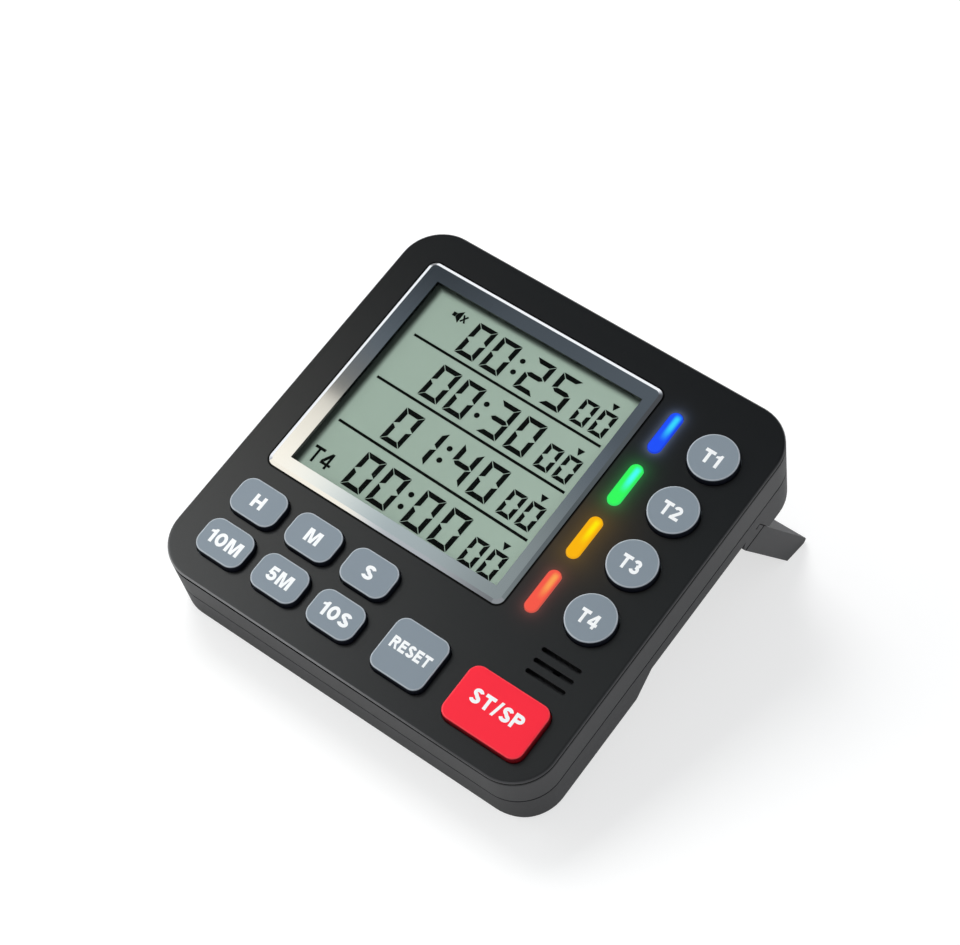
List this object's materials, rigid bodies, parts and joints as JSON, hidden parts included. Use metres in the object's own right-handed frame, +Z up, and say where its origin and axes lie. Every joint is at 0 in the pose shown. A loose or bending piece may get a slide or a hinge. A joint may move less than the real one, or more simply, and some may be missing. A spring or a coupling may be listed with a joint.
{
  "type": "kitchen timer",
  "caption": "Square desktop kitchen timer with a large display, a lit bar beside each round channel key, setting keys below and a fold-out stand on its back.",
  "frame": {"origin": "on the desk, below the middle of the timer's bounding box, with the stand open", "axes": "+X to the right as seen from the user, +Y from the user to the back, +Z up; the face leans back by 19.2 degrees from the horizontal"},
  "size_m": [0.1, 0.1122, 0.0507],
  "materials": {
    "face_black": "fine matt texture",
    "shell_grey": "fine matt texture",
    "bezel_silver": "silver-grey lacquer",
    "window_clear": "polished",
    "lcd_glass": "grey-green reflective display",
    "dark_plastic": "matt",
    "tinned_steel": "plain",
    "light_blue": "frosted, lit from behind",
    "light_green": "frosted, lit from behind",
    "light_amber": "frosted, lit from behind",
    "light_red": "frosted, lit from behind",
    "board_laminate": "solder resist",
    "lamp_white": "plain",
    "cell_can": "printed sleeve",
    "key_grey": "soft matt",
    "key_red": "soft matt"
  },
  "bodies": {
    "case": {"front_case": "face_black", "back_cover": "shell_grey", "display_bezel": "bezel_silver", "display_window": "window_clear", "lcd_panel": "lcd_glass", "lcd_holder": "dark_plastic", "lcd_pins": "tinned_steel", "light_bar_blue": "light_blue", "light_bar_green": "light_green", "light_bar_amber": "light_amber", "light_bar_red": "light_red", "circuit_board": "board_laminate", "tact_switches": "dark_plastic", "status_leds": "lamp_white", "controller_blob": "dark_plastic", "quartz_crystal": "tinned_steel", "buzzer": "dark_plastic", "battery_cell_upper": "cell_can", "battery_cell_lower": "cell_can", "bridge_contact": "tinned_steel", "terminal_contacts": "tinned_steel", "case_screws": "tinned_steel", "board_screws": "tinned_steel", "slide_switch": "dark_plastic"},
    "key_t1": {"key_t1": "key_grey"},
    "key_t2": {"key_t2": "key_grey"},
    "key_t3": {"key_t3": "key_grey"},
    "key_t4": {"key_t4": "key_grey"},
    "key_hours": {"key_hours": "key_grey"},
    "key_minutes": {"key_minutes": "key_grey"},
    "key_seconds": {"key_seconds": "key_grey"},
    "key_ten_minutes": {"key_ten_minutes": "key_grey"},
    "key_five_minutes": {"key_five_minutes": "key_grey"},
    "key_ten_seconds": {"key_ten_seconds": "key_grey"},
    "key_reset": {"key_reset": "key_grey"},
    "key_start_stop": {"key_start_stop": "key_red"},
    "stand": {"stand": "shell_grey"},
    "battery_door": {"battery_door": "shell_grey"},
    "volume_knob": {"volume_knob": "dark_plastic"}
  },
  "joints": [
    {"name": "key_t1_press", "type": "slide", "parent": "case", "child": "key_t1", "axis": [0, 0.3289, -0.9444], "range_m": [0, 0.0006], "stiffness_N_per_m": 800},
    {"name": "key_t2_press", "type": "slide", "parent": "case", "child": "key_t2", "axis": [0, 0.3289, -0.9444], "range_m": [0, 0.0006], "stiffness_N_per_m": 800},
    {"name": "key_t3_press", "type": "slide", "parent": "case", "child": "key_t3", "axis": [0, 0.3289, -0.9444], "range_m": [0, 0.0006], "stiffness_N_per_m": 800},
    {"name": "key_t4_press", "type": "slide", "parent": "case", "child": "key_t4", "axis": [0, 0.3289, -0.9444], "range_m": [0, 0.0006], "stiffness_N_per_m": 800},
    {"name": "key_hours_press", "type": "slide", "parent": "case", "child": "key_hours", "axis": [0, 0.3289, -0.9444], "range_m": [0, 0.0006], "stiffness_N_per_m": 800},
    {"name": "key_minutes_press", "type": "slide", "parent": "case", "child": "key_minutes", "axis": [0, 0.3289, -0.9444], "range_m": [0, 0.0006], "stiffness_N_per_m": 800},
    {"name": "key_seconds_press", "type": "slide", "parent": "case", "child": "key_seconds", "axis": [0, 0.3289, -0.9444], "range_m": [0, 0.0006], "stiffness_N_per_m": 800},
    {"name": "key_ten_minutes_press", "type": "slide", "parent": "case", "child": "key_ten_minutes", "axis": [0, 0.3289, -0.9444], "range_m": [0, 0.0006], "stiffness_N_per_m": 800},
    {"name": "key_five_minutes_press", "type": "slide", "parent": "case", "child": "key_five_minutes", "axis": [0, 0.3289, -0.9444], "range_m": [0, 0.0006], "stiffness_N_per_m": 800},
    {"name": "key_ten_seconds_press", "type": "slide", "parent": "case", "child": "key_ten_seconds", "axis": [0, 0.3289, -0.9444], "range_m": [0, 0.0006], "stiffness_N_per_m": 800},
    {"name": "key_reset_press", "type": "slide", "parent": "case", "child": "key_reset", "axis": [0, 0.3289, -0.9444], "range_m": [0, 0.0006], "stiffness_N_per_m": 800},
    {"name": "key_start_stop_press", "type": "slide", "parent": "case", "child": "key_start_stop", "axis": [0, 0.3289, -0.9444], "range_m": [0, 0.0006], "stiffness_N_per_m": 800},
    {"name": "stand_fold", "type": "hinge", "parent": "case", "child": "stand", "pos_m": [0, 0.02473, 0.02719], "axis": [-1, 0, 0], "range_deg": [0, 116]},
    {"name": "battery_door_swing", "type": "hinge", "parent": "case", "child": "battery_door", "pos_m": [-0.004, -0.04242, 0.00105], "axis": [-1, 0, 0], "range_deg": [0, 75]},
    {"name": "volume_slide", "type": "slide", "parent": "case", "child": "volume_knob", "axis": [0, 0.9444, 0.3289], "range_m": [0, 0.004]}
  ]
}
